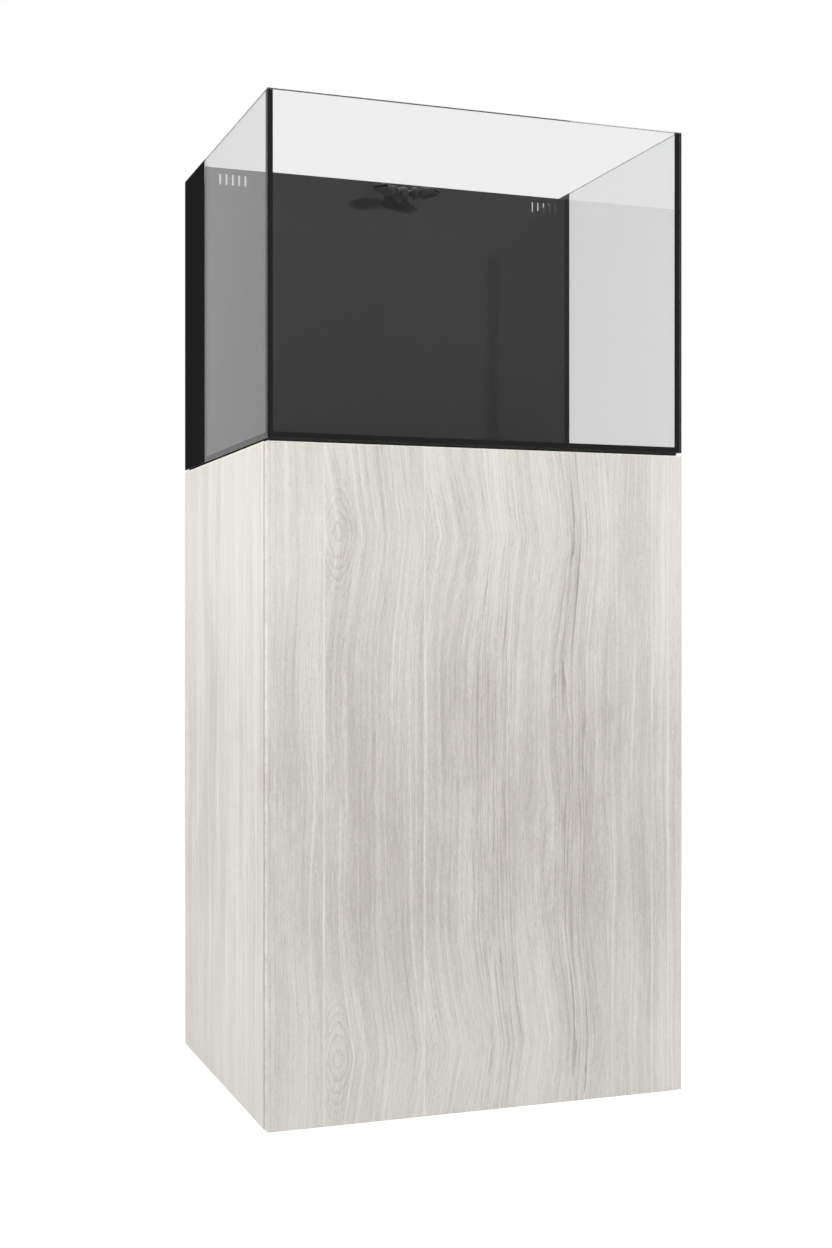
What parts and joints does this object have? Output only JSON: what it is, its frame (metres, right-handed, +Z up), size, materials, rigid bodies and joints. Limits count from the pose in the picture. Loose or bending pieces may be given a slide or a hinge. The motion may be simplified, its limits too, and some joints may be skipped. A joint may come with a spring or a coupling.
{
  "type": "aquarium on stand",
  "caption": "Rimless all-in-one glass aquarium with a black rear filter chamber, on a tall handleless wood-laminate cabinet with one door.",
  "frame": {"origin": "middle of the footprint, on the floor under the feet", "axes": "+Z up, front (door side) towards -Y, +X to the right as seen from the front"},
  "size_m": [0.6, 0.5, 1.349],
  "materials": {
    "clear_glass": "polished float glass",
    "black_silicone": "satin cured silicone",
    "black_film": "matt vinyl film",
    "black_foam": "closed-cell foam",
    "black_acrylic": "satin black acrylic",
    "grey_plastic": "moulded plastic",
    "white_felt": "needled felt",
    "black_sponge": "open-cell filter foam",
    "pump_plastic": "moulded plastic",
    "impeller_plastic": "moulded plastic",
    "ceramic_white": "ground ceramic",
    "soft_rubber": "soft rubber",
    "clear_hose": "silicone hose",
    "stainless": "stainless steel",
    "outlet_plastic": "satin moulded plastic",
    "oak_laminate": "pale grey oak laminate, vertical grain",
    "grommet_plastic": "moulded plastic",
    "zinc": "zinc plated",
    "nickel": "nickel plated",
    "latch_plastic": "moulded plastic",
    "foot_plastic": "moulded plastic"
  },
  "bodies": {
    "tank_and_cabinet": {"back_pane": "clear_glass", "back_panel": "oak_laminate", "bottom_pane": "clear_glass", "bulkhead_fitting": "outlet_plastic", "bulkhead_gasket": "soft_rubber", "bulkhead_nut": "outlet_plastic", "cable_grommets": "grommet_plastic", "cam_bolts": "zinc", "cam_locks": "zinc", "chamber_baffles": "black_acrylic", "chamber_ledges": "black_acrylic", "floor_panel": "oak_laminate", "foot_inserts": "zinc", "front_pane": "clear_glass", "hinge_arms": "nickel", "hinge_plates": "nickel", "hose_clips": "stainless", "latch_housing": "latch_plastic", "latch_spring": "stainless", "left_pane": "clear_glass", "left_side_panel": "oak_laminate", "levelling_mat": "black_foam", "overflow_partition": "black_acrylic", "partition_seams": "black_silicone", "plate_screws": "nickel", "pump_body": "pump_plastic", "pump_cable_gland": "soft_rubber", "pump_feet": "soft_rubber", "pump_shaft": "ceramic_white", "pump_strainer": "pump_plastic", "rear_film": "black_film", "return_hose": "clear_hose", "right_pane": "clear_glass", "right_side_panel": "oak_laminate", "roof_panel": "oak_laminate", "sock_trays": "black_acrylic", "tank_seams": "black_silicone"},
    "door_leaf": {"door": "oak_laminate", "hinge_cups": "nickel", "cup_screws": "nickel", "latch_strike": "nickel"},
    "hinge_link_set": {"hinge_links": "nickel"},
    "latch_pin": {"latch_plunger": "latch_plastic"},
    "front_left_leveller": {"front_left_foot": "foot_plastic"},
    "front_right_leveller": {"front_right_foot": "foot_plastic"},
    "back_left_leveller": {"back_left_foot": "foot_plastic"},
    "back_right_leveller": {"back_right_foot": "foot_plastic"},
    "outlet_y": {"return_y_fitting": "outlet_plastic"},
    "left_elbow": {"left_outlet_elbow": "outlet_plastic"},
    "right_elbow": {"right_outlet_elbow": "outlet_plastic"},
    "left_flare": {"left_flare_nozzle": "outlet_plastic"},
    "right_flare": {"right_flare_nozzle": "outlet_plastic"},
    "pump_rotor": {"pump_impeller": "impeller_plastic"},
    "left_sock": {"left_sock_ring": "grey_plastic", "left_filter_sock": "white_felt"},
    "right_sock": {"right_sock_ring": "grey_plastic", "right_filter_sock": "white_felt"},
    "left_sponge": {"left_filter_sponge": "black_sponge"},
    "right_sponge": {"right_filter_sponge": "black_sponge"}
  },
  "joints": [
    {"name": "hinge_link_turn", "type": "hinge", "parent": "tank_and_cabinet", "child": "hinge_link_set", "pos_m": [0.2659, -0.2347, 0.45], "axis": [0, 0, 1], "range_deg": [-33.5, 0]},
    {"name": "door_swing", "type": "hinge", "parent": "hinge_link_set", "child": "door_leaf", "pos_m": [0.2898, -0.2362, 0.45], "axis": [0, 0, 1], "range_deg": [0, 137.9]},
    {"name": "latch_press", "type": "slide", "parent": "tank_and_cabinet", "child": "latch_pin", "axis": [0, 1, 0], "range_m": [0, 0.003], "stiffness_N_per_m": 150, "springref_m": -0.01},
    {"name": "front_left_leveller_travel", "type": "slide", "parent": "tank_and_cabinet", "child": "front_left_leveller", "axis": [0, 0, 1], "range_m": [-0.008, 0]},
    {"name": "front_right_leveller_travel", "type": "slide", "parent": "tank_and_cabinet", "child": "front_right_leveller", "axis": [0, 0, 1], "range_m": [-0.008, 0]},
    {"name": "back_left_leveller_travel", "type": "slide", "parent": "tank_and_cabinet", "child": "back_left_leveller", "axis": [0, 0, 1], "range_m": [-0.008, 0]},
    {"name": "back_right_leveller_travel", "type": "slide", "parent": "tank_and_cabinet", "child": "back_right_leveller", "axis": [0, 0, 1], "range_m": [-0.008, 0]},
    {"name": "outlet_roll", "type": "hinge", "parent": "tank_and_cabinet", "child": "outlet_y", "pos_m": [0, 0.0965, 1.317], "axis": [0, 1, 0], "range_deg": [-90, 90]},
    {"name": "left_elbow_turn", "type": "hinge", "parent": "outlet_y", "child": "left_elbow", "pos_m": [-0.0175, 0.07631, 1.317], "axis": [-0.9848, -0.1736, 0], "range_deg": [-60, 60]},
    {"name": "left_flare_tilt", "type": "hinge", "parent": "left_elbow", "child": "left_flare", "pos_m": [-0.0307, 0.06929, 1.317], "axis": [0, 0, 1], "range_deg": [-25, 0]},
    {"name": "right_elbow_turn", "type": "hinge", "parent": "outlet_y", "child": "right_elbow", "pos_m": [0.0175, 0.07631, 1.317], "axis": [0.9848, -0.1736, 0], "range_deg": [-60, 60]},
    {"name": "right_flare_tilt", "type": "hinge", "parent": "right_elbow", "child": "right_flare", "pos_m": [0.0307, 0.06929, 1.317], "axis": [0, 0, 1], "range_deg": [0, 25]},
    {"name": "impeller_spin", "type": "hinge", "parent": "tank_and_cabinet", "child": "pump_rotor", "pos_m": [0, 0.183, 0.943], "axis": [1, 0, 0], "continuous": true},
    {"name": "left_sock_lift", "type": "slide", "parent": "tank_and_cabinet", "child": "left_sock", "axis": [0, 0, 1], "range_m": [0, 0.24]},
    {"name": "left_sponge_lift", "type": "slide", "parent": "tank_and_cabinet", "child": "left_sponge", "axis": [0, 0, 1], "range_m": [0, 0.45]},
    {"name": "right_sock_lift", "type": "slide", "parent": "tank_and_cabinet", "child": "right_sock", "axis": [0, 0, 1], "range_m": [0, 0.24]},
    {"name": "right_sponge_lift", "type": "slide", "parent": "tank_and_cabinet", "child": "right_sponge", "axis": [0, 0, 1], "range_m": [0, 0.45]}
  ],
  "couplings": [
    {"joint": "hinge_link_turn", "follows": "door_swing", "ratio": -0.23873}
  ]
}
